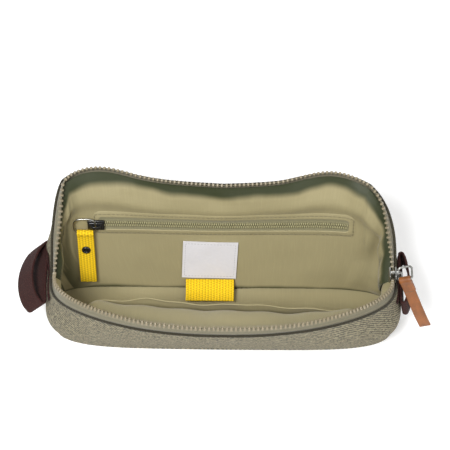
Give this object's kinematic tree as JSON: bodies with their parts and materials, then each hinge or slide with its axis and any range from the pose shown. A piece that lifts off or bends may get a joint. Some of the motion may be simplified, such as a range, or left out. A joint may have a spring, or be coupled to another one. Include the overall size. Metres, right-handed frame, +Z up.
{
  "type": "toiletry bag",
  "caption": "Open canvas toiletry bag with a lined inside, zipped and slip pockets, a leather zip pull and webbing end loops.",
  "frame": {"origin": "middle of the bottom panel's underside", "axes": "+Z up, X along the bag with the main slider's end at +X, -Y towards the bag's front"},
  "size_m": [0.3097, 0.1174, 0.1092],
  "materials": {
    "canvas": "matte",
    "lining": "satin",
    "zip_tape": "matte",
    "zip_teeth": "satin",
    "coil": "satin",
    "brown_webbing": "matte",
    "yellow_webbing": "matte",
    "leather": "satin",
    "silver": "gloss",
    "black_metal": "gloss",
    "label": "matte"
  },
  "bodies": {
    "base": {"bottom_lining": "lining", "bottom_panel": "canvas", "left_end_lining": "lining", "left_end_panel": "canvas", "left_front_end_teeth": "zip_teeth", "left_loop_anchor": "brown_webbing", "left_rear_end_teeth": "zip_teeth", "left_zip_end_tape": "zip_tape", "right_end_lining": "lining", "right_end_panel": "canvas", "right_front_end_teeth": "zip_teeth", "right_loop_anchor": "brown_webbing", "right_rear_end_teeth": "zip_teeth", "right_zip_end_tape": "zip_tape", "zip_bottom_stop": "zip_teeth", "zip_top_stop_front": "zip_teeth", "zip_top_stop_rear": "zip_teeth"},
    "front_wall": {"front_panel": "canvas", "front_lining": "lining", "slip_pocket": "lining", "front_zip_tape": "zip_tape", "front_zip_teeth": "zip_teeth"},
    "rear_wall": {"rear_panel": "canvas", "rear_lining": "lining", "rear_zip_tape": "zip_tape", "rear_zip_teeth": "zip_teeth", "pocket_window_trim": "lining", "pocket_tape_lower": "zip_tape", "pocket_tape_upper": "zip_tape", "pocket_coil_lower": "coil", "pocket_coil_upper": "coil", "pocket_back": "lining", "label_patch": "label"},
    "main_slider": {"main_slider": "silver"},
    "pull_link": {"pull_link": "silver"},
    "leather_pull": {"leather_pull": "leather"},
    "pocket_slider": {"pocket_slider": "black_metal"},
    "pocket_ring": {"pocket_ring": "silver"},
    "pocket_puller": {"pocket_puller": "yellow_webbing", "puller_eyelet": "black_metal"},
    "label_tab": {"label_tab": "yellow_webbing"},
    "left_loop": {"left_loop": "brown_webbing"},
    "right_loop": {"right_loop": "brown_webbing"}
  },
  "joints": [
    {"name": "front_wall_hinge", "type": "hinge", "parent": "base", "child": "front_wall", "pos_m": [0, -0.026, 0.0031], "axis": [1, 0, 0], "range_deg": [-29.2, 0]},
    {"name": "rear_wall_hinge", "type": "hinge", "parent": "base", "child": "rear_wall", "pos_m": [0, 0.026, 0.0031], "axis": [-1, 0, 0], "range_deg": [-29.2, 0]},
    {"name": "label_tab_hinge", "type": "hinge", "parent": "rear_wall", "child": "label_tab", "pos_m": [-0.0105, 0.02497, 0.01466], "axis": [-1, 0, 0], "range_deg": [0, 40]},
    {"name": "main_slider_slide", "type": "slide", "parent": "base", "child": "main_slider", "axis": [0, 0, 1], "range_m": [0, 0.008]},
    {"name": "pull_link_hinge", "type": "hinge", "parent": "main_slider", "child": "pull_link", "pos_m": [0.1261, 0, 0.07112], "axis": [0, -1, 0], "range_deg": [0, 40]},
    {"name": "leather_pull_hinge", "type": "hinge", "parent": "pull_link", "child": "leather_pull", "pos_m": [0.13093, -0.00525, 0.07317], "axis": [-0.9205, 0, -0.3907], "range_deg": [0, 60]},
    {"name": "pocket_slider_slide", "type": "slide", "parent": "rear_wall", "child": "pocket_slider", "axis": [1, 0, 0], "range_m": [0, 0.176]},
    {"name": "pocket_ring_hinge", "type": "hinge", "parent": "pocket_slider", "child": "pocket_ring", "pos_m": [-0.094, 0.03954, 0.06806], "axis": [0, 0.3047, 0.9524], "range_deg": [0, 45]},
    {"name": "pocket_puller_hinge", "type": "hinge", "parent": "pocket_ring", "child": "pocket_puller", "pos_m": [-0.10215, 0.03751, 0.06173], "axis": [-1, 0, 0], "range_deg": [0, 60]},
    {"name": "left_loop_hinge", "type": "hinge", "parent": "base", "child": "left_loop", "pos_m": [-0.12948, 0.003, 0.057], "axis": [0, 1, 0], "range_deg": [0, 45]},
    {"name": "right_loop_hinge", "type": "hinge", "parent": "base", "child": "right_loop", "pos_m": [0.12948, 0.003, 0.057], "axis": [0, -1, 0], "range_deg": [0, 5]}
  ],
  "couplings": [
    {"joint": "rear_wall_hinge", "follows": "front_wall_hinge", "ratio": 1},
    {"joint": "label_tab_hinge", "follows": "front_wall_hinge", "ratio": -1}
  ]
}
